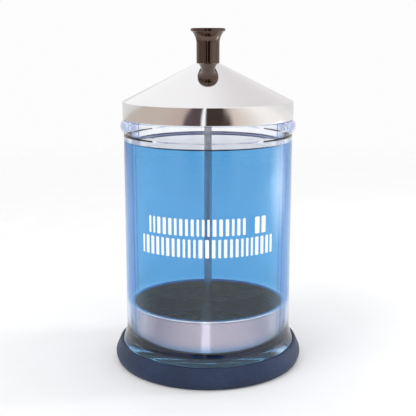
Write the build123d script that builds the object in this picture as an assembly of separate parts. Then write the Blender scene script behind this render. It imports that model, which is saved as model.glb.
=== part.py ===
from build123d import *
import math
import os

# Disinfectant jar: a glass jar on a rubber ring, with a conical sheet-metal lid. A rod hangs from the
# lid's knob and carries a perforated basket, so knob, lid, rod and basket lift out together.
# Millimetres. +Z is up the jar's axis; the origin is the centre of the ring's underside.

os.makedirs("parts", exist_ok=True)

# ---------------------------------------------------------------- driving dimensions
# rubber base ring
RING_H = 11.0             # height of the ring's visible band
RING_R = 50.2             # radius at its widest
RING_R_Z = 4.8            # height of the widest point
RING_TOP_R = 47.4         # outer edge of its top face
RING_LIP_R = 38.0         # inner edge of the flange under the glass
RING_FLANGE = 2.5         # thickness of that flange
RING_GROOVE_IN = 42.6     # shallow relief groove in the underside
RING_GROOVE_OUT = 44.4
RING_GROOVE_D = 0.8

# glass jar
BODY_R = 44.0             # outside of the straight wall
BORE_R = 40.0             # inside of the wall and of the neck
FOOT_R = 46.4             # flared foot, held by the ring
FLARE_TOP = 20.2          # where the flare runs into the straight wall
FLOOR_MID = 8.6           # inside floor at the centre
FLOOR_EDGE = 10.4         # inside floor near the wall
PUNT = 1.6                # rise of the underside at the centre
BEAD_R = 45.7             # bead that the lid stands over
BEAD_LO = 123.6
BEAD_HI = 129.6
NECK_R = 42.8             # outside of the neck

# lid
SHEET = 0.6               # stainless sheet of lid and basket
SKIRT_R = 44.4            # outside of the skirt
SKIRT_LO = 130.1
SLOPE = 0.507             # drop of the cone per unit of radius
APEX = 161.5              # where the cone would meet the axis
CROWN_R = 6.5             # flat crown that the knob stands on
LID_HOLE_R = 2.08         # the rod turns in this hole

# knob
KNOB_R = 6.0              # waist
KNOB_TOP_R = 8.95         # rim at its top
KNOB_LO_GAP = 0.10        # clearance above the crown
KNOB_TOP = 176.1

# rod and M4 hardware
ROD_R = 2.0
ROD_LO = 9.6
ROD_HI = 170.2
BORE_CL = 0.02            # clearance of nut, washer and knob bores on the rod
NUT_AF = 7.0
NUT_H = 3.2
JAM_H = 2.2
WASHER_R = 4.5
WASHER_T = 0.8
FLOOR_WASHER_R = 6.0
LID_GAP = 0.15            # end play of the rod under the crown

# basket
BASKET_R = 38.6           # outside of its wall
BASKET_LO = 13.1
BASKET_HI = 33.0
BASKET_CORNER = 2.4       # outside radius where wall meets floor
RIM_TUBE = 0.85           # radius of the rolled rim
HOLE_R = 2.0              # drain holes in the floor
HOLE_RINGS = ((12.0, 10), (19.0, 16), (26.0, 22), (32.5, 28))


# ---------------------------------------------------------------- helpers
def ring_profile(points):
    """Face in the XZ plane from (r, z, fillet) corners, listed in order round a closed outline."""
    n = len(points)
    corners = []
    for i in range(n):
        ax, az, _ = points[i - 1]
        bx, bz, rad = points[i]
        cx, cz, _ = points[(i + 1) % n]
        if rad <= 0:
            corners.append(((bx, bz), None, (bx, bz)))
            continue
        ux, uz = ax - bx, az - bz
        vx, vz = cx - bx, cz - bz
        lu, lv = math.hypot(ux, uz), math.hypot(vx, vz)
        ux, uz, vx, vz = ux / lu, uz / lu, vx / lv, vz / lv
        half = math.acos(max(-1.0, min(1.0, ux * vx + uz * vz))) / 2
        t = rad / math.tan(half)
        if t > min(lu, lv):
            raise ValueError(f"fillet {rad} at {bx, bz} is too large")
        mx, mz = ux + vx, uz + vz
        lm = math.hypot(mx, mz)
        k = rad / math.sin(half) - rad
        corners.append((
            (bx + ux * t, bz + uz * t),
            (bx + mx / lm * k, bz + mz / lm * k),
            (bx + vx * t, bz + vz * t),
        ))
    edges = []
    for i in range(n):
        start, mid, end = corners[i]
        if mid:
            edges.append(Edge.make_three_point_arc(p3(start), p3(mid), p3(end)))
        nxt = corners[(i + 1) % n][0]
        if math.dist(end, nxt) > 1e-6:
            edges.append(Edge.make_line(p3(end), p3(nxt)))
    return Face(Wire(edges))


def p3(rz):
    return (rz[0], 0, rz[1])


def turned(points):
    """Solid of revolution about Z."""
    return revolve(ring_profile(points), axis=Axis.Z)


def tube(r_out, r_in, z_lo, z_hi):
    return turned([(r_in, z_lo, 0), (r_out, z_lo, 0), (r_out, z_hi, 0), (r_in, z_hi, 0)])


def hex_nut(z_lo, height):
    """Hexagon nut with both faces chamfered, its bore clear of the rod."""
    across_corners = NUT_AF / math.cos(math.pi / 6)
    prism = extrude(
        Plane.XY.offset(z_lo) * RegularPolygon(across_corners / 2, 6), amount=height
    )
    c = (across_corners - NUT_AF) / 2
    rise = c * math.tan(math.radians(30))
    far = across_corners / 2 + 0.001
    cutter = turned([
        (0, z_lo, 0), (NUT_AF / 2, z_lo, 0), (far, z_lo + rise, 0),
        (far, z_lo + height - rise, 0), (NUT_AF / 2, z_lo + height, 0), (0, z_lo + height, 0),
    ])
    bore = Pos(0, 0, z_lo + height / 2) * Cylinder(ROD_R + BORE_CL, height + 2)
    return (prism & cutter) - bore


def cone_z(r):
    return APEX - SLOPE * r


parts = {}

# ---------------------------------------------------------------- rubber ring
# L-section: a bulged band round the foot, and a flange that the glass stands on
parts["base_ring"] = turned([
    (RING_LIP_R, 0, 0.6),
    (RING_GROOVE_IN, 0, 0),
    (RING_GROOVE_IN, RING_GROOVE_D, 0),
    (RING_GROOVE_OUT, RING_GROOVE_D, 0),
    (RING_GROOVE_OUT, 0, 0),
    (48.9, 0, 2.2),
    (RING_R + 0.35, RING_R_Z - 0.4, 5.0),
    (RING_TOP_R + 0.25, RING_H, 0.8),
    (FOOT_R, RING_H, 0),
    (FOOT_R, 5.0, 0),
    (FOOT_R - 1.5, RING_FLANGE, 0),
    (RING_LIP_R, RING_FLANGE, 0.6),
])

# ---------------------------------------------------------------- glass jar
# the lip is a full round whose crown lies just under the lid's cone
cone_in = APEX - SHEET * math.hypot(1, SLOPE)          # the cone's inner surface on the axis
lip_rho = (NECK_R - BORE_R) / 2
lip_r = (NECK_R + BORE_R) / 2
LIP_GAP = 0.25
lip_zc = cone_in - SLOPE * lip_r - (lip_rho + LIP_GAP) * math.hypot(1, SLOPE)
neck_top = lip_zc + lip_rho

flare_dr = FOOT_R - BODY_R
flare_h = FLARE_TOP - RING_H
# arc tangent to the straight wall at its top, through the foot's upper edge
flare_rad = (flare_dr**2 + flare_h**2) / (2 * flare_dr)
mid_a = math.asin(flare_h / flare_rad) / 2
flare_mid = (
    BODY_R + flare_rad * (1 - math.cos(mid_a)),
    FLARE_TOP - flare_rad * math.sin(mid_a),
)

bead_mid = (BEAD_LO + BEAD_HI) / 2
glass_edges = [
    Edge.make_line(p3((0, RING_FLANGE + PUNT)), p3((6, RING_FLANGE + PUNT))),
    Edge.make_three_point_arc(
        p3((6, RING_FLANGE + PUNT)), p3((24, RING_FLANGE + PUNT * 0.72)), p3((36.5, RING_FLANGE))
    ),
    Edge.make_line(p3((36.5, RING_FLANGE)), p3((FOOT_R - 1.5, RING_FLANGE))),
    Edge.make_line(p3((FOOT_R - 1.5, RING_FLANGE)), p3((FOOT_R, 5.0))),
    Edge.make_line(p3((FOOT_R, 5.0)), p3((FOOT_R, RING_H))),
    Edge.make_three_point_arc(p3((FOOT_R, RING_H)), p3(flare_mid), p3((BODY_R, FLARE_TOP))),
    Edge.make_line(p3((BODY_R, FLARE_TOP)), p3((BODY_R, BEAD_LO - 1.2))),
    # fillet under the bead, the bead's round, and the shoulder on top of it
    Edge.make_three_point_arc(
        p3((BODY_R, BEAD_LO - 1.2)),
        p3((BODY_R + 0.12, BEAD_LO - 0.35)),
        p3((BODY_R + 0.55, BEAD_LO)),
    ),
    Edge.make_three_point_arc(
        p3((BODY_R + 0.55, BEAD_LO)), p3((BEAD_R, bead_mid)), p3((BODY_R + 0.25, BEAD_HI))
    ),
    Edge.make_line(p3((BODY_R + 0.25, BEAD_HI)), p3((NECK_R + 0.6, BEAD_HI))),
    Edge.make_three_point_arc(
        p3((NECK_R + 0.6, BEAD_HI)), p3((NECK_R + 0.176, BEAD_HI + 0.176)), p3((NECK_R, BEAD_HI + 0.6))
    ),
    Edge.make_line(p3((NECK_R, BEAD_HI + 0.6)), p3((NECK_R, lip_zc))),
    Edge.make_three_point_arc(p3((NECK_R, lip_zc)), p3((lip_r, neck_top)), p3((BORE_R, lip_zc))),
    Edge.make_line(p3((BORE_R, lip_zc)), p3((BORE_R, FLOOR_EDGE + 5.0))),
    Edge.make_three_point_arc(
        p3((BORE_R, FLOOR_EDGE + 5.0)),
        p3((BORE_R - 5.0 * (1 - math.cos(math.pi / 4)), FLOOR_EDGE + 5.0 - 5.0 * math.sin(math.pi / 4))),
        p3((BORE_R - 5.0, FLOOR_EDGE)),
    ),
    Edge.make_three_point_arc(
        p3((BORE_R - 5.0, FLOOR_EDGE)), p3((21, FLOOR_MID + 0.55)), p3((5.0, FLOOR_MID))
    ),
    Edge.make_line(p3((5.0, FLOOR_MID)), p3((0, FLOOR_MID))),
    Edge.make_line(p3((0, FLOOR_MID)), p3((0, RING_FLANGE + PUNT))),
]
parts["glass_jar"] = revolve(Face(Wire(glass_edges)), axis=Axis.Z)

# ---------------------------------------------------------------- lid shell
# spun cone with a flat crown, a sharp corner at the skirt and a plain cut edge
crown_z = cone_z(CROWN_R)
drop = SHEET * math.hypot(1, SLOPE)                     # sheet measured along Z on the cone
skirt_top = cone_z(SKIRT_R)
parts["lid_shell"] = turned([
    (LID_HOLE_R, crown_z - SHEET, 0),
    (CROWN_R - (drop - SHEET) / SLOPE, crown_z - SHEET, 0),
    (SKIRT_R - SHEET, cone_z(SKIRT_R - SHEET) - drop, 0.25),
    (SKIRT_R - SHEET, SKIRT_LO, 0.12),
    (SKIRT_R, SKIRT_LO, 0.25),
    (SKIRT_R, skirt_top, 0.7),
    (CROWN_R, crown_z, 0.5),
    (LID_HOLE_R, crown_z, 0),
])

# ---------------------------------------------------------------- knob
knob_lo = crown_z + KNOB_LO_GAP
knob_edges = [
    Edge.make_line(p3((ROD_R + BORE_CL, knob_lo)), p3((KNOB_R - 0.35, knob_lo))),
    Edge.make_line(p3((KNOB_R - 0.35, knob_lo)), p3((KNOB_R, knob_lo + 0.35))),
    Edge.make_line(p3((KNOB_R, knob_lo + 0.35)), p3((KNOB_R, 168.0))),
    Edge.make_three_point_arc(p3((KNOB_R, 168.0)), p3((6.57, 171.6)), p3((8.25, 174.45))),
    Edge.make_line(p3((8.25, 174.45)), p3((KNOB_TOP_R - 0.2, 174.55))),
    Edge.make_three_point_arc(
        p3((KNOB_TOP_R - 0.2, 174.55)), p3((KNOB_TOP_R - 0.05, 174.62)), p3((KNOB_TOP_R, 174.75))
    ),
    Edge.make_line(p3((KNOB_TOP_R, 174.75)), p3((KNOB_TOP_R, KNOB_TOP - 0.6))),
    Edge.make_three_point_arc(
        p3((KNOB_TOP_R, KNOB_TOP - 0.6)), p3((KNOB_TOP_R - 0.15, KNOB_TOP - 0.22)), p3((KNOB_TOP_R - 0.5, KNOB_TOP - 0.05))
    ),
    Edge.make_line(p3((KNOB_TOP_R - 0.5, KNOB_TOP - 0.05)), p3((KNOB_TOP_R - 1.2, KNOB_TOP))),
    Edge.make_line(p3((KNOB_TOP_R - 1.2, KNOB_TOP)), p3((0, KNOB_TOP))),
    Edge.make_line(p3((0, KNOB_TOP)), p3((0, ROD_HI + 0.9))),
    Edge.make_line(p3((0, ROD_HI + 0.9)), p3((ROD_R + BORE_CL, ROD_HI + 0.1))),
    Edge.make_line(p3((ROD_R + BORE_CL, ROD_HI + 0.1)), p3((ROD_R + BORE_CL, knob_lo))),
]
parts["lid_knob"] = revolve(Face(Wire(knob_edges)), axis=Axis.Z)

# ---------------------------------------------------------------- rod
parts["lid_rod"] = turned([
    (0, ROD_LO, 0), (ROD_R - 0.4, ROD_LO, 0), (ROD_R, ROD_LO + 0.4, 0),
    (ROD_R, ROD_HI - 0.4, 0), (ROD_R - 0.4, ROD_HI, 0), (0, ROD_HI, 0),
])

# ---------------------------------------------------------------- hardware under the crown
washer_hi = crown_z - SHEET - LID_GAP
parts["lid_washer"] = tube(WASHER_R, ROD_R + BORE_CL, washer_hi - WASHER_T, washer_hi)
parts["lid_nut"] = hex_nut(washer_hi - WASHER_T - NUT_H, NUT_H)

# ---------------------------------------------------------------- basket
# drawn cup with a rolled rim; the floor has rings of drain holes and a hole for the rod
rim_zc = BASKET_HI - RIM_TUBE
wall_in = BASKET_R - SHEET
cup = turned([
    (ROD_R + BORE_CL, BASKET_LO, 0),
    (BASKET_R, BASKET_LO, BASKET_CORNER),
    (BASKET_R, rim_zc, 0),
    (wall_in, rim_zc, 0),
    (wall_in, BASKET_LO + SHEET, BASKET_CORNER - SHEET),
    (ROD_R + BORE_CL, BASKET_LO + SHEET, 0),
])
rim = revolve(
    Plane.XZ * Pos(BASKET_R - SHEET / 2, rim_zc) * Circle(RIM_TUBE), axis=Axis.Z
)
cup = cup + rim
drills = [
    Pos(r * math.cos(a), r * math.sin(a), BASKET_LO + SHEET / 2) * Cylinder(HOLE_R, 3 * SHEET)
    for r, n in HOLE_RINGS
    for a in (2 * math.pi * k / n for k in range(n))
]
parts["basket_cup"] = cup - drills

floor_hi = BASKET_LO + SHEET
parts["basket_washer_upper"] = tube(FLOOR_WASHER_R, ROD_R + BORE_CL, floor_hi, floor_hi + WASHER_T)
parts["basket_nut_upper"] = hex_nut(floor_hi + WASHER_T, NUT_H)
parts["basket_washer_lower"] = tube(FLOOR_WASHER_R, ROD_R + BORE_CL, BASKET_LO - WASHER_T, BASKET_LO)
parts["basket_nut_lower"] = hex_nut(BASKET_LO - WASHER_T - JAM_H, JAM_H)

# ---------------------------------------------------------------- write
for name, shape in parts.items():
    solids = shape.solids()
    body = solids[0] if len(solids) == 1 else Compound(children=list(solids))
    body.label = name
    export_step(body, f"parts/{name}.step")
    print(name, len(solids), "solid", round(sum(s.volume for s in solids) / 1000, 2), "cm3")

brim = math.pi * BORE_R**2 * (neck_top - FLOOR_EDGE) / 1000
print("neck top", round(neck_top, 2), "skirt top", round(skirt_top, 2), "brimful about", round(brim), "cm3")
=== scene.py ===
import bpy
import bmesh
import math
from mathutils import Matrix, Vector


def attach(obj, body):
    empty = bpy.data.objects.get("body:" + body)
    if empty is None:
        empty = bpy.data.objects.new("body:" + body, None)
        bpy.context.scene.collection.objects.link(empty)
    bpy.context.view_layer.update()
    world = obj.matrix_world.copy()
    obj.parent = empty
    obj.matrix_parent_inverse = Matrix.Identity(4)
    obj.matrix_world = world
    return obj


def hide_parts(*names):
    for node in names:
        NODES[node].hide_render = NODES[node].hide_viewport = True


# Disinfectant jar: glass jar on a rubber ring, conical steel lid, knob, rod and perforated basket.
# Every piece is turned about Z; profiles are in millimetres, (radius, height).

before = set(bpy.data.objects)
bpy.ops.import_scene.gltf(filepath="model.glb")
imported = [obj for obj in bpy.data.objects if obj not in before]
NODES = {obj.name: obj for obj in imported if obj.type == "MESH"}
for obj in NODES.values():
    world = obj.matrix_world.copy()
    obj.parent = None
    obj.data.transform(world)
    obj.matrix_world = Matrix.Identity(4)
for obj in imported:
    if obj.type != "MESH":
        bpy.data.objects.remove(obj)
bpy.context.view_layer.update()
MM = 0.001
COL = bpy.context.scene.collection


# ================================================================ mesh helpers
def arc(cr, cz, rad, a0, a1, n):
    """n + 1 points of an arc, angles in degrees."""
    out = []
    for k in range(n + 1):
        a = math.radians(a0 + (a1 - a0) * k / n)
        out.append((cr + rad * math.cos(a), cz + rad * math.sin(a), False))
    return out


def arc3(p, q, s, n):
    """n + 1 points of the arc from p through q to s."""
    ax, ay, bx, by, cx, cy = *p, *q, *s
    d = 2 * (ax * (by - cy) + bx * (cy - ay) + cx * (ay - by))
    ux = ((ax * ax + ay * ay) * (by - cy) + (bx * bx + by * by) * (cy - ay) + (cx * cx + cy * cy) * (ay - by)) / d
    uy = ((ax * ax + ay * ay) * (cx - bx) + (bx * bx + by * by) * (ax - cx) + (cx * cx + cy * cy) * (bx - ax)) / d
    rad = math.hypot(ax - ux, ay - uy)
    a0 = math.atan2(ay - uy, ax - ux)
    a1 = math.atan2(by - uy, bx - ux)
    a2 = math.atan2(cy - uy, cx - ux)
    two = 2 * math.pi
    up = (a2 - a0) % two
    mid = (a1 - a0) % two
    sweep = up if mid <= up else up - two
    return [(ux + rad * math.cos(a0 + sweep * k / n), uy + rad * math.sin(a0 + sweep * k / n), False) for k in range(n + 1)]


def rounded(points, closed=True, step=7.0):
    """(r, z, fillet) corners to (r, z, sharp) points; a corner with no fillet is a hard edge."""
    n = len(points)
    out = []
    for i in range(n):
        bx, bz, rad = points[i]
        if not closed and i in (0, n - 1):
            out.append((bx, bz, False))
            continue
        ax, az = points[i - 1][:2]
        cx, cz = points[(i + 1) % n][:2]
        if rad <= 0:
            out.append((bx, bz, True))
            continue
        ux, uz, vx, vz = ax - bx, az - bz, cx - bx, cz - bz
        lu, lv = math.hypot(ux, uz), math.hypot(vx, vz)
        ux, uz, vx, vz = ux / lu, uz / lu, vx / lv, vz / lv
        half = math.acos(max(-1, min(1, ux * vx + uz * vz))) / 2
        t = rad / math.tan(half)
        mx, mz = ux + vx, uz + vz
        lm = math.hypot(mx, mz)
        k = rad / math.sin(half) - rad
        turn = 180 - math.degrees(2 * half)
        out += arc3(
            (bx + ux * t, bz + uz * t), (bx + mx / lm * k, bz + mz / lm * k), (bx + vx * t, bz + vz * t),
            max(3, int(turn / step)),
        )
    return out


def clean(loop, closed=True):
    """Drops doubled points and puts holding loops beside the ends of long straight runs."""
    pts = []
    for p in loop:
        if pts and math.hypot(p[0] - pts[-1][0], p[1] - pts[-1][1]) < 1e-5:
            pts[-1] = (p[0], p[1], pts[-1][2] or p[2])
        else:
            pts.append(p)
    if closed and math.hypot(pts[0][0] - pts[-1][0], pts[0][1] - pts[-1][1]) < 1e-5:
        pts.pop()
    out = []
    m = len(pts)
    for i in range(m):
        out.append(pts[i])
        if not closed and i == m - 1:
            break
        a, b = pts[i], pts[(i + 1) % m]
        length = math.hypot(b[0] - a[0], b[1] - a[1])
        if length > 1.0 and not (a[0] < 1e-6 and b[0] < 1e-6):
            hold = min(0.2, length * 0.15)
            cuts = [hold / length]
            inner = max(1, int(length / 12))
            cuts += [k / inner for k in range(1, inner)]
            cuts.append(1 - hold / length)
            for t in cuts:
                out.append((a[0] + (b[0] - a[0]) * t, a[1] + (b[1] - a[1]) * t, False))
    return out


def finish_mesh(name, bm, body, mats, smooth=True):
    bmesh.ops.recalc_face_normals(bm, faces=bm.faces)
    me = bpy.data.meshes.new(name)
    for f in bm.faces:
        f.smooth = smooth
    bm.to_mesh(me)
    bm.free()
    o = bpy.data.objects.new(name, me)
    COL.objects.link(o)
    for m in mats if isinstance(mats, (list, tuple)) else [mats]:
        me.materials.append(m)
    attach(o, body)
    return o


def add_rings(bm, loop, n, closed=True):
    """Turns the profile about Z into bm, and returns its rings of vertices."""
    rings = []
    for r, z, _ in loop:
        if r < 1e-6:
            rings.append([bm.verts.new((0, 0, z * MM))])
        else:
            rings.append([
                bm.verts.new((r * MM * math.cos(2 * math.pi * j / n), r * MM * math.sin(2 * math.pi * j / n), z * MM))
                for j in range(n)
            ])
    m = len(loop)
    for i in range(m if closed else m - 1):
        a, b = rings[i], rings[(i + 1) % m]
        if len(a) == 1 and len(b) == 1:
            continue
        for j in range(n):
            k = (j + 1) % n
            if len(a) == 1:
                bm.faces.new((a[0], b[k], b[j]))
            elif len(b) == 1:
                bm.faces.new((a[j], a[k], b[0]))
            else:
                bm.faces.new((a[j], a[k], b[k], b[j]))
    for i, (r, z, sharp) in enumerate(loop):
        if sharp and len(rings[i]) > 1:
            for j in range(n):
                e = bm.edges.get((rings[i][j], rings[i][(j + 1) % n]))
                if e:
                    e.smooth = False
    return rings


def lathe(name, loop, body, mats, n=192):
    bm = bmesh.new()
    add_rings(bm, clean(loop), n)
    return finish_mesh(name, bm, body, mats)


# ================================================================ material helpers
class Nodes:
    def __init__(self, name):
        self.mat = bpy.data.materials.new(name)
        self.mat.use_nodes = True
        self.t = self.mat.node_tree
        self.t.nodes.clear()
        self.out = self.t.nodes.new("ShaderNodeOutputMaterial")

    def add(self, kind, **sockets):
        nd = self.t.nodes.new(kind)
        for k, v in sockets.items():
            if k.startswith("_"):
                setattr(nd, k[1:], v)
        return nd

    def link(self, a, b):
        self.t.links.new(a, b)

    def noise(self, vector, scale, detail=3.0, rough=0.5, dist=0.0):
        nd = self.add("ShaderNodeTexNoise")
        nd.inputs["Scale"].default_value = scale
        nd.inputs["Detail"].default_value = detail
        nd.inputs["Roughness"].default_value = rough
        nd.inputs["Distortion"].default_value = dist
        self.link(vector, nd.inputs["Vector"])
        return nd.outputs["Fac"]

    def ramp(self, fac, stops, interp="LINEAR"):
        nd = self.add("ShaderNodeValToRGB")
        nd.color_ramp.interpolation = interp
        els = nd.color_ramp.elements
        while len(els) < len(stops):
            els.new(0.5)
        for el, (p, c) in zip(els, stops):
            el.position = p
            el.color = (*c, 1) if len(c) == 3 else c
        self.link(fac, nd.inputs["Fac"])
        return nd.outputs["Color"]

    def remap(self, value, lo, hi, a, b):
        nd = self.add("ShaderNodeMapRange")
        nd.inputs["From Min"].default_value = lo
        nd.inputs["From Max"].default_value = hi
        nd.inputs["To Min"].default_value = a
        nd.inputs["To Max"].default_value = b
        self.link(value, nd.inputs["Value"])
        return nd.outputs["Result"]

    def math(self, op, a, b=None):
        nd = self.add("ShaderNodeMath")
        nd.operation = op
        for i, v in enumerate((a, b)):
            if v is None:
                continue
            if isinstance(v, (int, float)):
                nd.inputs[i].default_value = v
            else:
                self.link(v, nd.inputs[i])
        return nd.outputs[0]

    def times(self, a, b):
        nd = self.add("ShaderNodeVectorMath")
        nd.operation = "MULTIPLY"
        self.link(a, nd.inputs[0])
        self.link(b, nd.inputs[1])
        return nd.outputs[0]

    def facing(self):
        nd = self.add("ShaderNodeLayerWeight")
        nd.inputs["Blend"].default_value = 0.5
        return nd.outputs["Facing"]

    def coords(self):
        return self.add("ShaderNodeTexCoord").outputs["Object"]

    def turned_coords(self, radial, axial, around=0.0):
        """(radius, height, angle) scaled: stretches noise into turned or spun lines about Z."""
        sep = self.add("ShaderNodeSeparateXYZ")
        self.link(self.coords(), sep.inputs[0])
        x, y, z = sep.outputs
        r = self.math("SQRT", self.math("ADD", self.math("MULTIPLY", x, x), self.math("MULTIPLY", y, y)))
        comb = self.add("ShaderNodeCombineXYZ")
        self.link(self.math("MULTIPLY", r, radial), comb.inputs[0])
        self.link(self.math("MULTIPLY", z, axial), comb.inputs[1])
        if around:
            ang = self.add("ShaderNodeCombineXYZ")
            self.link(self.math("MULTIPLY", x, around), ang.inputs[0])
            self.link(self.math("MULTIPLY", y, around), ang.inputs[1])
            add = self.add("ShaderNodeVectorMath")
            add.operation = "ADD"
            self.link(comb.outputs[0], add.inputs[0])
            self.link(ang.outputs[0], add.inputs[1])
            return add.outputs[0]
        return comb.outputs[0]

    def bump(self, height, strength, distance, normal=None):
        nd = self.add("ShaderNodeBump")
        nd.inputs["Strength"].default_value = strength
        nd.inputs["Distance"].default_value = distance
        self.link(height, nd.inputs["Height"])
        if normal is not None:
            self.link(normal, nd.inputs["Normal"])
        return nd.outputs["Normal"]

    def principled(self, **values):
        nd = self.add("ShaderNodeBsdfPrincipled")
        for k, v in values.items():
            key = k.replace("_", " ")
            if isinstance(v, bpy.types.NodeSocket):
                self.link(v, nd.inputs[key])
            else:
                nd.inputs[key].default_value = (*v, 1) if isinstance(v, tuple) and len(v) == 3 else v
        self.link(nd.outputs[0], self.out.inputs["Surface"])
        return nd


def steel(name, base, rough, lines, line_depth, smear=0.05, dark=0.9):
    """Bright steel or chrome: fine turned lines, smears in the polish and a slight tone change."""
    m = Nodes(name)
    spun = m.noise(m.turned_coords(*lines), 1.0, 4.0, 0.6)
    blot = m.noise(m.coords(), 55.0, 3.0, 0.55, 0.4)
    shade = m.remap(m.math("ADD", m.math("MULTIPLY", spun, 0.6), m.math("MULTIPLY", blot, 0.4)), 0.3, 0.7, 0.0, 1.0)
    color = m.ramp(shade, [(0.0, tuple(c * dark for c in base)), (1.0, base)])
    rgh = m.math("ADD", m.remap(spun, 0.35, 0.65, rough * 0.75, rough * 1.25), m.remap(blot, 0.5, 0.75, 0.0, smear))
    m.principled(Base_Color=color, Metallic=1.0, Roughness=rgh, IOR=2.5, Normal=m.bump(spun, 0.35, line_depth))
    return m.mat


# ================================================================ materials
lid_mat = steel("lid_polished_steel", (0.86, 0.85, 0.85), 0.045, (5200, 5200, 22), 0.0000016, 0.05, 0.955)
lid_in_mat = steel("lid_inside_steel", (0.80, 0.79, 0.80), 0.12, (4200, 4200, 60), 0.000006, 0.08, 0.85)
knob_mat = steel("knob_dark_chrome", (0.125, 0.088, 0.072), 0.10, (2500, 6500, 30), 0.0000012, 0.05, 0.8)
basket_mat = steel("basket_polished_steel", (0.60, 0.52, 0.58), 0.08, (4800, 4800, 40), 0.000003, 0.06, 0.9)
# brighter copy of the basket steel for the rolled rim: painted highlight, over a slightly smoother polish
basket_rim_painted_highlight_mat = steel("basket_rim_painted_highlight_steel", (0.86, 0.80, 0.84), 0.05, (4800, 4800, 40), 0.000002, 0.04, 0.93)
# much darker copy of the basket steel for the inside of the cup and the top of its floor: painted shade
basket_inside_painted_shade_mat = steel("basket_inside_painted_shade_steel", (0.135, 0.070, 0.086), 0.24, (3000, 3000, 80), 0.000008, 0.08, 0.75)
rod_mat = steel("rod_drawn_steel", (0.46, 0.45, 0.48), 0.2, (900, 150, 3000), 0.000004, 0.06, 0.8)
hard_mat = steel("hardware_steel", (0.58, 0.57, 0.56), 0.2, (3500, 900, 900), 0.000006, 0.1, 0.8)


def rubber():
    m = Nodes("ring_rubber")
    c = m.coords()
    grain = m.noise(c, 900.0, 5.0, 0.65)
    broad = m.noise(c, 40.0, 3.0, 0.5)
    tone = m.remap(m.math("ADD", m.math("MULTIPLY", grain, 0.5), m.math("MULTIPLY", broad, 0.5)), 0.35, 0.65, 0.0, 1.0)
    color = m.ramp(tone, [(0.0, (0.013, 0.024, 0.056)), (0.55, (0.018, 0.032, 0.073)), (1.0, (0.026, 0.044, 0.092))])
    rgh = m.remap(broad, 0.3, 0.7, 0.42, 0.56)
    m.principled(Base_Color=color, Roughness=rgh, IOR=1.42, Normal=m.bump(grain, 0.35, 0.00003), Specular_IOR_Level=0.35)
    return m.mat


ring_mat = rubber()


def clear_glass(name, ior, coat):
    m = Nodes(name)
    c = m.coords()
    wave = m.noise(m.turned_coords(60, 90, 60), 1.0, 2.0, 0.5)
    fine = m.noise(c, 160.0, 2.0, 0.5)
    h = m.math("ADD", wave, m.math("MULTIPLY", fine, 0.15))
    sep = m.add("ShaderNodeSeparateXYZ")
    m.link(c, sep.inputs[0])
    level = m.remap(m.math("ADD", sep.outputs[2], m.math("MULTIPLY", wave, 0.0015)), 0.0115, 0.0215, 0.0, 1.0)
    # clear glass painted blue and darker towards the foot: painted shade under the jar and the liquid's blue painted
    # into the foot; the foot also lets a little less light through
    foot_painted_blue_shade = m.ramp(level, [
        (0.0, (0.15, 0.44, 0.74)), (0.25, (0.26, 0.56, 0.82)), (0.55, (0.62, 0.80, 0.93)), (0.95, (0.975, 0.985, 1.0)),
    ])
    # dark and lavender bands where the glass is seen edge-on: painted reflections of the surroundings in the thick
    # glass edge
    edge_painted_reflection = m.ramp(m.facing(), [
        (0.0, (1, 1, 1)), (0.50, (0.98, 0.985, 1.0)), (0.553, (0.80, 0.86, 0.97)), (0.574, (0.13, 0.24, 0.46)), (0.60, (0.70, 0.80, 0.95)),
        (0.67, (0.50, 0.60, 0.84)), (0.735, (0.42, 0.48, 0.74)), (0.80, (0.58, 0.62, 0.86)), (0.90, (0.66, 0.70, 0.90)),
        (0.96, (0.42, 0.47, 0.66)), (1.0, (0.25, 0.29, 0.44)),
    ])
    m.principled(
        Base_Color=m.times(foot_painted_blue_shade, edge_painted_reflection), Roughness=0.0, IOR=ior, Transmission_Weight=m.remap(level, 0.0, 0.5, 0.90, 1.0),
        Normal=m.bump(h, 0.25, 0.00006),
        Coat_Weight=coat, Coat_Roughness=0.01, Coat_IOR=1.5,
    )
    return m.mat


def seat():
    m = Nodes("glass_on_rubber")
    n = m.noise(m.coords(), 120.0, 3.0, 0.6)
    color = m.ramp(n, [(0.3, (0.075, 0.100, 0.135)), (0.7, (0.11, 0.145, 0.19))])
    m.principled(Base_Color=color, Roughness=m.remap(n, 0.3, 0.7, 0.4, 0.6), IOR=1.4)
    return m.mat


glass_mat, neck_mat, seat_mat = clear_glass("jar_clear_glass", 1.5, 0.0), clear_glass("jar_neck_glass", 1.004, 1.0), seat()


ABSORB = (28.3, 11.3, 3.85)  # per metre


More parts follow.
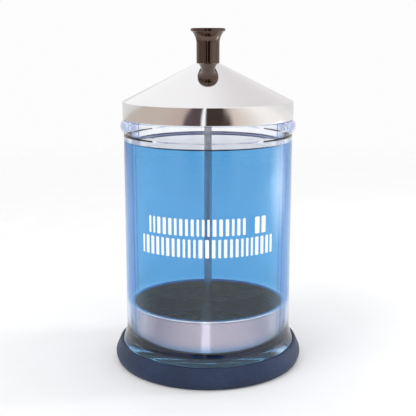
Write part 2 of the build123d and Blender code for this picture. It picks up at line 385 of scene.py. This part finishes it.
def liquid(name, ior, ripple, side):
    m = Nodes(name)
    c = m.coords()
    wave = m.noise(c, 38.0, 2.0, 0.5)
    if side:
        sep = m.add("ShaderNodeSeparateXYZ")
        m.link(c, sep.inputs[0])
        level = m.remap(m.math("ADD", sep.outputs[2], m.math("MULTIPLY", wave, 0.003)), 0.0335, 0.1035, 0.0, 1.0)
        tint = m.ramp(level, [(0.0, (0.98, 0.985, 1.0)), (0.05, (0.56, 0.87, 0.975)), (0.55, (0.74, 0.93, 0.985)), (1.0, (0.86, 0.965, 1.0))])
        stops = []
        for f, short in ((0.0, 0.0), (0.057, 9.7), (0.134, 24.0), (0.188, 35.8), (0.226, 45.9), (0.255, 55.6), (0.278, 67.7), (0.30, 80.0)):
            stops.append((f, tuple(math.exp(-0.85 * k * short * MM) for k in ABSORB)))
        color = m.times(tint, m.ramp(m.math("MULTIPLY", m.facing(), m.remap(sep.outputs[2], 0.031, 0.036, 0.15, 1.0)), stops))
    else:
        color = m.ramp(wave, [(0.3, (0.96, 0.98, 1.0)), (0.7, (0.98, 0.99, 1.0))])
    m.principled(
        Base_Color=color, Roughness=0.0, IOR=ior, Transmission_Weight=1.0, Normal=m.bump(wave, 0.2, ripple),
        Coat_Weight=0.0 if side else 1.0, Coat_Roughness=0.01, Coat_IOR=1.9,
    )
    vol = m.add("ShaderNodeVolumeAbsorption")
    vol.inputs["Color"].default_value = (0.05, 0.62, 0.871, 1)
    vol.inputs["Density"].default_value = 29.8
    m.link(vol.outputs[0], m.out.inputs["Volume"])
    return m.mat


fluid_mat = liquid("fluid_blue", 1.05, 0.00001, True)
fluid_top_mat = liquid("fluid_blue_surface", 1.33, 0.00004, False)


def print_white():
    m = Nodes("print_white_enamel")
    c = m.coords()
    speck = m.noise(c, 1400.0, 4.0, 0.6)
    color = m.ramp(speck, [(0.3, (0.86, 0.90, 0.95)), (0.7, (0.94, 0.96, 0.98))])
    m.principled(
        Base_Color=color, Roughness=m.remap(speck, 0.3, 0.7, 0.3, 0.42), IOR=1.5, Normal=m.bump(speck, 0.3, 0.00001)
    )
    return m.mat


print_mat = print_white()


def floor_pale():
    m = Nodes("floor_pale")
    c = m.coords()
    n = m.noise(c, 30.0, 3.0, 0.5)
    color = m.ramp(n, [(0.3, (0.86, 0.86, 0.865)), (0.7, (0.88, 0.88, 0.885))])
    ln = m.add("ShaderNodeVectorMath")
    ln.operation = "LENGTH"
    m.link(c, ln.inputs[0])
    fade = m.remap(ln.outputs["Value"], 0.38, 0.95, 1.0, 0.0)
    p = m.principled(Base_Color=color, Roughness=0.75, IOR=1.4, Alpha=fade)
    return m.mat


# ================================================================ jar body: ring, glass, liquid, print
RING_TOP, FOOT_R, FLANGE = 11.0, 46.4, 2.5
BODY_R, BORE_R, NECK_R = 44.0, 40.0, 42.8
FLARE_TOP, BEAD_LO, BEAD_HI, BEAD_R = 20.2, 123.6, 129.6, 45.7
SHEET, SKIRT_R, SKIRT_LO, SLOPE, APEX, CROWN_R = 0.6, 44.4, 130.1, 0.507, 161.5, 6.5

ring_loop = rounded([
    (38.0, 0.0, 0.6),
    (42.6, 0.0, 0.15),
    (42.6, 0.8, 0.2),
    (44.4, 0.8, 0.2),
    (44.4, 0.0, 0.15),
    (48.9, 0.0, 2.2),
    (50.55, 4.4, 5.0),
    (47.65, 11.0, 0.8),
    (46.43, 11.0, 0.12),
    (46.43, 5.0, 0),
    (44.9, 2.47, 0),
    (38.0, 2.47, 0.6),
], step=5.0)
ring = lathe("base_ring_rubber", ring_loop, "jar", ring_mat, 256)
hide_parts("base_ring")

cone_in = APEX - SHEET * math.hypot(1, SLOPE)
lip_rho, lip_r = (NECK_R - BORE_R) / 2, (NECK_R + BORE_R) / 2
lip_zc = cone_in - SLOPE * lip_r - (lip_rho + 0.25) * math.hypot(1, SLOPE)
neck_top = lip_zc + lip_rho
flare_dr, flare_h = FOOT_R - 0.02 - BODY_R, FLARE_TOP - RING_TOP
flare_rad = (flare_dr**2 + flare_h**2) / (2 * flare_dr)
half_a = math.asin(flare_h / flare_rad) / 2
flare_mid = (BODY_R + flare_rad * (1 - math.cos(half_a)), FLARE_TOP - flare_rad * math.sin(half_a))
FR = FOOT_R - 0.02
glass_loop = (
    [(0, FLANGE + 1.6, False), (6, FLANGE + 1.6, False)]
    + arc3((6, FLANGE + 1.6), (24, FLANGE + 1.6 * 0.72), (36.5, FLANGE), 12)[1:]
    + rounded([(36.5, FLANGE, 0), (FR - 1.5, FLANGE, 0.4), (FR, 5.0, 0.6), (FR, RING_TOP, 0)], closed=False)[1:-1]
    + arc3((FR, RING_TOP), flare_mid, (BODY_R, FLARE_TOP), 18)
    + [(BODY_R, 121.5, False), (BODY_R, BEAD_LO - 1.2, False)]
    + arc3((BODY_R, BEAD_LO - 1.2), (BODY_R + 0.12, BEAD_LO - 0.35), (BODY_R + 0.55, BEAD_LO), 6)[1:]
    + arc3((BODY_R + 0.55, BEAD_LO), (BEAD_R, (BEAD_LO + BEAD_HI) / 2), (BODY_R + 0.25, BEAD_HI), 22)[1:]
    + [(NECK_R + 0.6, BEAD_HI, False)]
    + arc3((NECK_R + 0.6, BEAD_HI), (NECK_R + 0.176, BEAD_HI + 0.176), (NECK_R, BEAD_HI + 0.6), 6)[1:]
    + [(NECK_R, lip_zc, False)]
    + arc(lip_r, lip_zc, lip_rho, 0, 180, 20)[1:]
    + [(BORE_R, 121.5, False)]
    + arc(BORE_R - 5, 10.4 + 5, 5, 0, -90, 16)
    + arc3((BORE_R - 5, 10.4), (21, 8.6 + 0.55), (5, 8.6), 14)[1:]
    + [(0, 8.6, False)]
)
bm = bmesh.new()
add_rings(bm, clean(glass_loop), 256)
for f in bm.faces:
    c = f.calc_center_median()
    r, z = c.xy.length / MM, c.z / MM
    f.material_index = 1 if (r > 44.9 and z < 10.95) or (r > 38.2 and z < 2.9) else 2 if z > 121.5 else 0
glass = finish_mesh("jar_glass", bm, "jar", [glass_mat, seat_mat, neck_mat])
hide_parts("glass_jar")

# liquid up to just under the bead, with a small meniscus; it reaches 0.05 mm into the glass, so no film of air shows
LEVEL = 117.8
FB = BORE_R + 0.05
fluid_side = (
    [(0, 8.55, False)]
    + arc3((5, 8.55), (21, 8.6 + 0.50), (BORE_R - 5, 10.35), 14)
    + arc(BORE_R - 5, 10.4 + 5, 5.05, -90, 0, 14)
    + [(FB, LEVEL + 1.0, True)]
)
fluid_top = [
    (FB - 0.17, LEVEL + 0.72, False), (FB - 0.4, LEVEL + 0.42, False), (FB - 0.85, LEVEL + 0.17, False),
    (FB - 1.5, LEVEL + 0.05, False), (FB - 2.4, LEVEL, False), (FB - 6, LEVEL, False), (20, LEVEL, False), (0, LEVEL, False),
]
fluid_loop = clean(fluid_side, closed=False) + fluid_top
bm = bmesh.new()
add_rings(bm, fluid_loop, 192)
top_z = (LEVEL - 0.01) * MM
for f in bm.faces:
    zs = [v.co.z for v in f.verts]
    f.material_index = 1 if min(zs) >= top_z and max(v.co.xy.length for v in f.verts) - min(v.co.xy.length for v in f.verts) > 1e-6 else 0
fluid = finish_mesh("disinfectant_liquid", bm, "jar", [fluid_mat, fluid_top_mat])


def print_blocks():
    """Two rows of plain upright strokes, wrapped on the glass where the jar is printed. They spell nothing."""
    bm = bmesh.new()
    r_in, r_out, rad = 44.02, 44.07, 0.45

    def block(a0, a1, z0, z1):
        s0, s1 = math.radians(a0) * r_out, math.radians(a1) * r_out
        cols = [s0, s0 + rad * 0.12, s0 + rad * 0.35, s0 + rad * 0.65, s0 + rad]
        inner = max(1, int((s1 - s0 - 2 * rad) / 0.6))
        cols += [s0 + rad + (s1 - s0 - 2 * rad) * k / inner for k in range(1, inner)]
        cols += [s1 - rad, s1 - rad * 0.65, s1 - rad * 0.35, s1 - rad * 0.12, s1]
        quads = []
        for s in cols:
            d = min(s - s0, s1 - s)
            cut = rad - math.sqrt(max(0.0, rad * rad - (rad - d) ** 2)) if d < rad else 0.0
            a = s / r_out
            ring4 = []
            for r, z in ((r_out, z0 + cut), (r_out, z1 - cut), (r_in, z1 - cut), (r_in, z0 + cut)):
                ring4.append(bm.verts.new((r * MM * math.sin(a), -r * MM * math.cos(a), z * MM)))
            quads.append(ring4)
        for p, q in zip(quads, quads[1:]):
            for k in range(4):
                bm.faces.new((p[k], p[(k + 1) % 4], q[(k + 1) % 4], q[k]))
        bm.faces.new(quads[0])
        bm.faces.new(quads[-1])

    widths = (2.3, 1.7, 2.6, 1.9, 2.1, 1.6, 2.4, 2.0, 1.8, 2.5)
    for z0, z1, runs in (
        (77.0, 85.4, ((-41.0, 24.5, 18), (31.5, 40.0, 2))),
        (66.2, 75.4, ((-47.0, 46.0, 25),)),
    ):
        for a0, a1, count in runs:
            gap = 1.35
            wide = [widths[(7 * k + count) % 10] for k in range(count)]
            scale = math.degrees(1 / r_out)
            room = (a1 - a0) / scale - gap * (count - 1)
            at = a0 / scale
            for w in wide:
                w *= room / sum(wide)
                block(at * scale, (at + w) * scale, z0, z1)
                at += w + gap
    bmesh.ops.recalc_face_normals(bm, faces=bm.faces)
    for e in bm.edges:
        if len(e.link_faces) == 2 and e.calc_face_angle(0) > 0.6:
            e.smooth = False
    return finish_mesh("print_bars", bm, "jar", print_mat)


prints = print_blocks()

# ================================================================ lid
crown_z = APEX - SLOPE * CROWN_R
drop = SHEET * math.hypot(1, SLOPE)
lid_loop = rounded([
    (2.08, crown_z - SHEET, 0.1),
    (CROWN_R - (drop - SHEET) / SLOPE, crown_z - SHEET, 0.3),
    (SKIRT_R - SHEET, APEX - SLOPE * (SKIRT_R - SHEET) - drop, 0.25),
    (SKIRT_R - SHEET, SKIRT_LO, 0.12),
    (SKIRT_R, SKIRT_LO, 0.25),
    (SKIRT_R, APEX - SLOPE * SKIRT_R, 0.7),
    (CROWN_R, crown_z, 0.5),
    (2.08, crown_z, 0.1),
], step=5.0)
bm = bmesh.new()
loop = clean(lid_loop)
rings = add_rings(bm, loop, 256)
bmesh.ops.recalc_face_normals(bm, faces=bm.faces)
for f in bm.faces:
    c = f.calc_center_median()
    f.material_index = 1 if f.normal.z < -0.3 or (f.normal.xy.dot(c.xy) < 0 and c.z < 0.157) else 0
lid = finish_mesh("lid_cone", bm, "lid", [lid_mat, lid_in_mat])
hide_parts("lid_shell")

# ================================================================ knob
knob_lo = crown_z + 0.10
knob_loop = (
    rounded([(2.02, 170.3, 0), (2.02, knob_lo, 0.15), (5.98, knob_lo, 0.35), (6.0, 168.0, 0)], closed=False)[:-1]
    + arc3((6.0, 168.0), (6.57, 171.6), (8.25, 174.45), 20)
    + rounded([(8.25, 174.45, 0), (8.95, 174.52, 0.18), (8.95, 176.06, 0.42), (7.0, 176.1, 0)], closed=False)[1:]
    + [(0, 176.1, False), (0, 171.1, False)]
)
knob = lathe("knob_trumpet", knob_loop, "basket_rod", knob_mat, 160)
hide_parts("lid_knob")


# ================================================================ rod, with threads where nuts and knob sit
def rod_mesh():
    R, PITCH, DEPTH, n = 2.0, 0.7, 0.36, 48
    lo, hi = 9.6, 170.2
    zones = ((lo + 0.25, 19.2), (152.2, hi - 0.25))
    zs = [lo, lo + 0.12, lo + 0.24]
    z = lo + 0.25
    for a, b in zones:
        if a > zs[-1] + 0.5:
            run = int((a - zs[-1]) / 12) + 1
            start = zs[-1]
            zs += [start + (a - start) * k / run for k in range(1, run)]
        k = 0
        while a + k * PITCH / 8 < b:
            zs.append(a + k * PITCH / 8)
            k += 1
    zs += [hi - 0.24, hi - 0.12, hi]
    zs = sorted(set(round(v, 4) for v in zs))

    def radius(z, a):
        base = R - 0.4 * max(0.0, 1 - (z - lo) / 0.4, 1 - (hi - z) / 0.4)
        for p, q in zones:
            if p <= z <= q:
                fade = min(1.0, (z - p) / 0.7, (q - z) / 0.7)
                ph = (z / PITCH - a / (2 * math.pi)) % 1.0
                return base - DEPTH * fade * min(1.0, abs(2 * ph - 1) * 1.15)
        return base

    bm = bmesh.new()
    rings = []
    for z in zs:
        rings.append([
            bm.verts.new((
                radius(z, 2 * math.pi * j / n) * MM * math.cos(2 * math.pi * j / n),
                radius(z, 2 * math.pi * j / n) * MM * math.sin(2 * math.pi * j / n), z * MM,
            )) for j in range(n)
        ])
    for a, b in zip(rings, rings[1:]):
        for j in range(n):
            bm.faces.new((a[j], a[(j + 1) % n], b[(j + 1) % n], b[j]))
    for end, ring in ((lo, rings[0]), (hi, rings[-1])):
        c = bm.verts.new((0, 0, end * MM))
        for j in range(n):
            bm.faces.new((ring[j], ring[(j + 1) % n], c))
            e = bm.edges.get((ring[j], ring[(j + 1) % n]))
            e.smooth = False
    return finish_mesh("centre_rod", bm, "basket_rod", rod_mat)


rod = rod_mesh()
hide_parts("lid_rod")


# ================================================================ basket
def basket_mesh():
    n = 192
    R, LO, HI, CORNER, T, TUBE = 38.6, 13.1, 33.0, 2.4, 0.6, 0.85
    zc = HI - TUBE
    cr = R - T / 2
    meet = zc - math.sqrt(TUBE**2 - (T / 2) ** 2)
    a0 = math.degrees(math.atan2(meet - zc, T / 2))
    a1 = 180 - a0
    profile = (
        arc(R - CORNER, LO + CORNER, CORNER, -90, 0, 10)
        + [(R, meet - 0.6, False), (R, meet, True)]
        + arc(cr, zc, TUBE, a0, a1, 30)[1:-1]
        + [(R - T, meet, True), (R - T, meet - 0.6, False)]
        + arc(R - CORNER, LO + CORNER, CORNER - T, 0, -90, 10)
    )
    loop = clean(profile, closed=False)
    bm = bmesh.new()
    rings = add_rings(bm, loop, n, closed=False)
    holes = [(0.0, 0.0, 2.02, 32)]
    for r, count in ((12.0, 10), (19.0, 16), (26.0, 22), (32.5, 28)):
        holes += [
            (r * math.cos(2 * math.pi * k / count), r * math.sin(2 * math.pi * k / count), 2.0, 24) for k in range(count)
        ]
    top_edges = [bm.edges.get((rings[-1][j], rings[-1][(j + 1) % n])) for j in range(n)]
    low_edges = [bm.edges.get((rings[0][j], rings[0][(j + 1) % n])) for j in range(n)]
    for x, y, r, seg in holes:
        stack = []
        for rr, z in ((r + 0.14, LO), (r, LO + 0.12), (r, LO + T - 0.12), (r + 0.14, LO + T)):
            stack.append([
                bm.verts.new((
                    (x + rr * math.cos(2 * math.pi * k / seg)) * MM, (y + rr * math.sin(2 * math.pi * k / seg)) * MM, z * MM,
                )) for k in range(seg)
            ])
        for p, q in zip(stack, stack[1:]):
            for k in range(seg):
                bm.faces.new((p[k], p[(k + 1) % seg], q[(k + 1) % seg], q[k]))
        for ring in (stack[0], stack[-1]):
            for k in range(seg):
                e = bm.edges.get((ring[k], ring[(k + 1) % seg]))
                e.smooth = False
        low_edges += [bm.edges.get((stack[0][k], stack[0][(k + 1) % seg])) for k in range(seg)]
        top_edges += [bm.edges.get((stack[-1][k], stack[-1][(k + 1) % seg])) for k in range(seg)]
    for edges in (low_edges, top_edges):
        bmesh.ops.triangle_fill(bm, edges=edges, use_beauty=True, use_dissolve=False, normal=(0, 0, 1))
    bmesh.ops.recalc_face_normals(bm, faces=bm.faces)
    # the cup's inside faces and its floor's top get the darker copy, painted shade; faces above the wall's top get the
    # brighter rim copy, painted highlight
    for f in bm.faces:
        c = f.calc_center_median()
        inner = f.normal.xy.dot(c.xy) < 0 and c.z < (meet - 0.3) * MM and c.xy.length > 0.030
        f.material_index = 2 if c.z > (meet + 0.02) * MM else 1 if inner or (f.normal.z > 0.5 and c.z < 0.02) else 0
    return finish_mesh("basket_perforated", bm, "basket_rod", [basket_mat, basket_inside_painted_shade_mat, basket_rim_painted_highlight_mat])


basket = basket_mesh()
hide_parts("basket_cup")

# CAD nodes that stay: turned washers and chamfered nuts
for name in ("lid_washer", "lid_nut", "basket_washer_upper", "basket_nut_upper", "basket_washer_lower", "basket_nut_lower"):
    o = NODES[name]
    o.data.materials.clear()
    o.data.materials.append(hard_mat)

# ================================================================ stage
me = bpy.data.meshes.new("floor")
bm = bmesh.new()
bmesh.ops.create_circle(bm, cap_ends=True, cap_tris=True, segments=128, radius=1.6)
bm.to_mesh(me)
bm.free()
floor = bpy.data.objects.new("floor", me)
COL.objects.link(floor)
me.materials.append(floor_pale())

world = bpy.data.worlds.new("studio")
bpy.context.scene.world = world
world.use_nodes = True
wt = world.node_tree
wt.nodes.clear()


def wn(kind):
    return wt.nodes.new(kind)


def wmath(op, a, b=None):
    nd = wn("ShaderNodeMath")
    nd.operation = op
    for i, v in enumerate((a, b)):
        if v is None:
            continue
        if isinstance(v, (int, float)):
            nd.inputs[i].default_value = v
        else:
            wt.links.new(v, nd.inputs[i])
    return nd.outputs[0]


def wramp(fac, stops, interp="LINEAR"):
    nd = wn("ShaderNodeValToRGB")
    nd.color_ramp.interpolation = interp
    els = nd.color_ramp.elements
    while len(els) < len(stops):
        els.new(0.5)
    for el, (p, c) in zip(els, stops):
        el.position = p
        el.color = (*c, 1)
    wt.links.new(fac, nd.inputs["Fac"])
    return nd.outputs["Color"]


def wmix(fac, a, b):
    nd = wn("ShaderNodeMix")
    nd.data_type = "RGBA"
    for sock, v in ((nd.inputs["Factor"], fac), (nd.inputs["A"], a), (nd.inputs["B"], b)):
        pass
    for key, v in (("Factor", fac), ("A", a), ("B", b)):
        ins = [s for s in nd.inputs if s.name == key and (s.type == "RGBA" if key != "Factor" else s.type == "VALUE")]
        if isinstance(v, tuple):
            ins[0].default_value = (*v, 1)
        elif isinstance(v, (int, float)):
            ins[0].default_value = v
        else:
            wt.links.new(v, ins[0])
    return [s for s in nd.outputs if s.type == "RGBA"][0]


direction = wn("ShaderNodeTexCoord").outputs["Generated"]
sep = wn("ShaderNodeSeparateXYZ")
wt.links.new(direction, sep.inputs[0])
dx, dy, dz = sep.outputs
azim = wmath("ARCTAN2", dx, wmath("MULTIPLY", dy, -1.0))
az01 = wmath("ADD", wmath("DIVIDE", azim, 2 * math.pi), 0.5)
elev = wmath("ARCSINE", dz)


def at(deg):
    return 0.5 + deg / 360.0


BROWN, DUSK = (0.055, 0.038, 0.032), (0.105, 0.078, 0.085)
BEIGE_L, BEIGE_R, CREAM = (0.60, 0.50, 0.44), (0.72, 0.61, 0.55), (1.05, 1.03, 1.01)
# the dark shapes narrow upwards
lean = wn("ShaderNodeMapRange")
lean.inputs["From Min"].default_value = math.radians(-5.9)
lean.inputs["From Max"].default_value = math.radians(-4.4)
wt.links.new(elev, lean.inputs["Value"])
spread = wmath("ADD", wmath("MULTIPLY", wmath("POWER", lean.outputs["Result"], 2.4), 0.55), 0.93)
az_low = wmath("ADD", wmath("DIVIDE", wmath("MULTIPLY", azim, spread), 2 * math.pi), 0.5)
low_band = wramp(az_low, [
    (0.0, (0.78, 0.78, 0.77)), (at(-150), (0.74, 0.74, 0.73)), (at(-138), (0.60, 0.52, 0.46)), (at(-66), (0.60, 0.52, 0.46)), (at(-60), BEIGE_L),
    (at(-33), (0.56, 0.45, 0.40)), (at(-28), DUSK), (at(-9), DUSK), (at(-7.6), (1.1, 1.12, 1.15)), (at(-3.9), (1.1, 1.12, 1.15)),
    (at(-2.4), BROWN), (at(26), BROWN), (at(33), BEIGE_R), (at(60), (0.90, 0.84, 0.80)), (at(80), CREAM),
    (at(110), CREAM), (at(128), (0.92, 0.91, 0.90)), (at(165), (0.88, 0.88, 0.87)), (1.0, (0.80, 0.80, 0.79)),
])
high_band = wramp(az01, [
    (0.0, (1.0, 0.985, 1.0)), (at(-166), (1.04, 1.035, 1.05)), (at(-120), (1.04, 1.04, 1.05)), (at(0), (1.04, 1.03, 1.04)),
    (at(70), (1.0, 0.99, 1.0)), (at(110), (0.90, 0.88, 0.89)), (at(152), (0.80, 0.775, 0.785)), (at(160), (0.83, 0.805, 0.815)),
    (at(172), (0.93, 0.91, 0.925)), (1.0, (1.0, 0.985, 1.0)),
])
rise = wn("ShaderNodeMapRange")
rise.interpolation_type = "SMOOTHSTEP"
rise.inputs["From Min"].default_value = math.radians(5)
rise.inputs["From Max"].default_value = math.radians(17)
wt.links.new(elev, rise.inputs["Value"])
gloss_env = wmix(rise.outputs["Result"], low_band, high_band)

# pale grey-lavender stands every 45 degrees draw the glass's edges
ripple = wmath("COSINE", wmath("MULTIPLY", azim, 8.0))
stand = wn("ShaderNodeMapRange")
stand.interpolation_type = "SMOOTHSTEP"
stand.inputs["From Min"].default_value = -0.95
stand.inputs["From Max"].default_value = -0.35
stand.inputs["To Min"].default_value = 1.0
stand.inputs["To Max"].default_value = 0.0
wt.links.new(ripple, stand.inputs["Value"])
through_env = wmix(stand.outputs["Result"], (1.0, 1.0, 1.0), (0.60, 0.62, 0.74))
strip = wramp(az01, [(0.0, (0, 0, 0)), (at(-7.4), (0, 0, 0)), (at(-6.2), (1, 1, 1)), (at(-4.6), (1, 1, 1)), (at(-3.4), (0, 0, 0)), (1.0, (0, 0, 0))])
through_env = wmix(strip, through_env, (1.9, 1.9, 1.95))

path = wn("ShaderNodeLightPath")
seen = wmix(path.outputs["Is Glossy Ray"], (0.98, 0.98, 0.985), gloss_env)
final = wmix(path.outputs["Is Transmission Ray"], seen, through_env)
bg = wn("ShaderNodeBackground")
wt.links.new(final, bg.inputs["Color"])
bg.inputs["Strength"].default_value = 1.0
wout = wn("ShaderNodeOutputWorld")
wt.links.new(bg.outputs[0], wout.inputs["Surface"])


def softbox(name, loc, aim, size, power, color=(1, 1, 1)):
    li = bpy.data.lights.new(name, "AREA")
    li.shape = "RECTANGLE"
    li.size, li.size_y = size
    li.energy = power
    li.color = color
    o = bpy.data.objects.new(name, li)
    COL.objects.link(o)
    o.location = loc
    o.rotation_mode = "QUATERNION"
    o.rotation_quaternion = (Vector(aim) - Vector(loc)).to_track_quat("-Z", "Y")
    return o


key = softbox("key_softbox", (-0.55, -0.50, 0.85), (0, 0, 0.08), (0.5, 0.5), 3.0, (1.0, 0.985, 0.97))
side = softbox("side_softbox", (0.62, 0.10, 0.22), (0, 0, 0.09), (0.12, 0.42), 1.6)
key.visible_glossy = False
side.visible_glossy = False

key.visible_transmission = False
side.visible_transmission = False

# a soft card low on the right, seen only as a reflection: the paler sheen on the right of the glass
card_mat = bpy.data.materials.new("card_white")
card_mat.use_nodes = True
nt = card_mat.node_tree
nt.nodes.clear()
tc = nt.nodes.new("ShaderNodeTexCoord")
grad = nt.nodes.new("ShaderNodeTexGradient")
grad.gradient_type = "SPHERICAL"
mp = nt.nodes.new("ShaderNodeMapping")
mp.inputs["Scale"].default_value = (1 / 0.11, 1, 1 / 0.055)
nt.links.new(tc.outputs["Object"], mp.inputs["Vector"])
nt.links.new(mp.outputs[0], grad.inputs["Vector"])
em = nt.nodes.new("ShaderNodeEmission")
em.inputs["Strength"].default_value = 5.0
tr = nt.nodes.new("ShaderNodeBsdfTransparent")
mx = nt.nodes.new("ShaderNodeMixShader")
so = nt.nodes.new("ShaderNodeOutputMaterial")
nt.links.new(grad.outputs["Fac"], mx.inputs[0])
nt.links.new(tr.outputs[0], mx.inputs[1])
nt.links.new(em.outputs[0], mx.inputs[2])
nt.links.new(mx.outputs[0], so.inputs["Surface"])
cm = bpy.data.meshes.new("card")
cm.from_pydata([(-0.11, 0, -0.055), (0.11, 0, -0.055), (0.11, 0, 0.055), (-0.11, 0, 0.055)], [], [(0, 1, 2, 3)])
cm.materials.append(card_mat)
card = bpy.data.objects.new("card", cm)
COL.objects.link(card)
turn = math.radians(104)
card.location = (0.30 * math.sin(turn), -0.30 * math.cos(turn), 0.052)
card.rotation_euler = (0, 0, turn)
card.visible_camera = card.visible_diffuse = card.visible_transmission = card.visible_shadow = card.visible_volume_scatter = False

# a low board in front, seen only through the glass: the pale streak and darker ends on the basket's polished wall
fb_mat = bpy.data.materials.new("front_board")
fb_mat.use_nodes = True
nt = fb_mat.node_tree
nt.nodes.clear()
tc = nt.nodes.new("ShaderNodeTexCoord")
sx = nt.nodes.new("ShaderNodeSeparateXYZ")
nt.links.new(tc.outputs["Object"], sx.inputs[0])
neg = nt.nodes.new("ShaderNodeMath")
neg.operation = "MULTIPLY"
neg.inputs[1].default_value = -1.0
nt.links.new(sx.outputs[1], neg.inputs[0])
ang = nt.nodes.new("ShaderNodeMath")
ang.operation = "ARCTAN2"
nt.links.new(sx.outputs[0], ang.inputs[0])
nt.links.new(neg.outputs[0], ang.inputs[1])
span = nt.nodes.new("ShaderNodeMapRange")
span.inputs["From Min"].default_value = -math.pi
span.inputs["From Max"].default_value = math.pi
nt.links.new(ang.outputs[0], span.inputs["Value"])
rampn = nt.nodes.new("ShaderNodeValToRGB")
marks = [
    (0.0, (0.86, 0.86, 0.87)), (at(-88), (0.86, 0.86, 0.87)), (at(-66), (0.56, 0.56, 0.62)), (at(-30), (0.80, 0.80, 0.84)),
    (at(-9), (0.90, 0.90, 0.93)), (at(-6), (1.55, 1.55, 1.6)), (at(1), (1.55, 1.55, 1.6)), (at(4), (0.90, 0.90, 0.93)),
    (at(50), (0.86, 0.86, 0.90)), (at(72), (0.70, 0.70, 0.76)), (at(88), (0.86, 0.86, 0.87)), (1.0, (0.86, 0.86, 0.87)),
]
while len(rampn.color_ramp.elements) < len(marks):
    rampn.color_ramp.elements.new(0.5)
for el, (p, c) in zip(rampn.color_ramp.elements, marks):
    el.position = p
    el.color = (*c, 1)
nt.links.new(span.outputs["Result"], rampn.inputs["Fac"])
em = nt.nodes.new("ShaderNodeEmission")
nt.links.new(rampn.outputs["Color"], em.inputs["Color"])
so = nt.nodes.new("ShaderNodeOutputMaterial")
nt.links.new(em.outputs[0], so.inputs["Surface"])
bm = bmesh.new()
arcs = []
for rad in (0.056, 0.17):
    arcs.append([bm.verts.new((rad * math.sin(math.radians(a)), -rad * math.cos(math.radians(a)), 0)) for a in range(-88, 89, 4)])
for k in range(len(arcs[0]) - 1):
    bm.faces.new((arcs[0][k], arcs[0][k + 1], arcs[1][k + 1], arcs[1][k]))
bmesh.ops.recalc_face_normals(bm, faces=bm.faces)
fbm = bpy.data.meshes.new("front_board")
bm.to_mesh(fbm)
bm.free()
fbm.materials.append(fb_mat)
board = bpy.data.objects.new("front_board", fbm)
COL.objects.link(board)
board.location = (0, 0, 0.0005)
board.visible_camera = board.visible_diffuse = board.visible_glossy = board.visible_shadow = board.visible_volume_scatter = False

# ================================================================ camera
cam_data = bpy.data.cameras.new("camera")
cam = bpy.data.objects.new("camera", cam_data)
COL.objects.link(cam)
cam_data.sensor_width = 36.0
cam_data.lens = 69.5
cam_data.shift_y = -0.025
cam_pos = Vector((0.0, -0.420, 0.1686))
cam.location = cam_pos
pitch = math.radians(-10.9)
cam.rotation_mode = "QUATERNION"
cam.rotation_quaternion = Vector((0, math.cos(pitch), math.sin(pitch))).to_track_quat("-Z", "Y")
cam_data.clip_start, cam_data.clip_end = 0.01, 20
bpy.context.scene.camera = cam

sc = bpy.context.scene
sc.view_settings.view_transform = "Standard"
sc.view_settings.look = "None"
sc.view_settings.exposure = 0.0
sc.view_settings.gamma = 1.0
sc.cycles.max_bounces = 24
sc.cycles.transmission_bounces = 24
sc.cycles.transparent_max_bounces = 24
sc.cycles.glossy_bounces = 10
sc.cycles.diffuse_bounces = 4
sc.cycles.volume_bounces = 0
sc.cycles.use_denoising = True
sc.cycles.denoiser = "OPENIMAGEDENOISE"
sc.cycles.caustics_reflective = False
sc.cycles.caustics_refractive = True
sc.cycles.sample_clamp_indirect = 6.0
sc.cycles.blur_glossy = 0.2
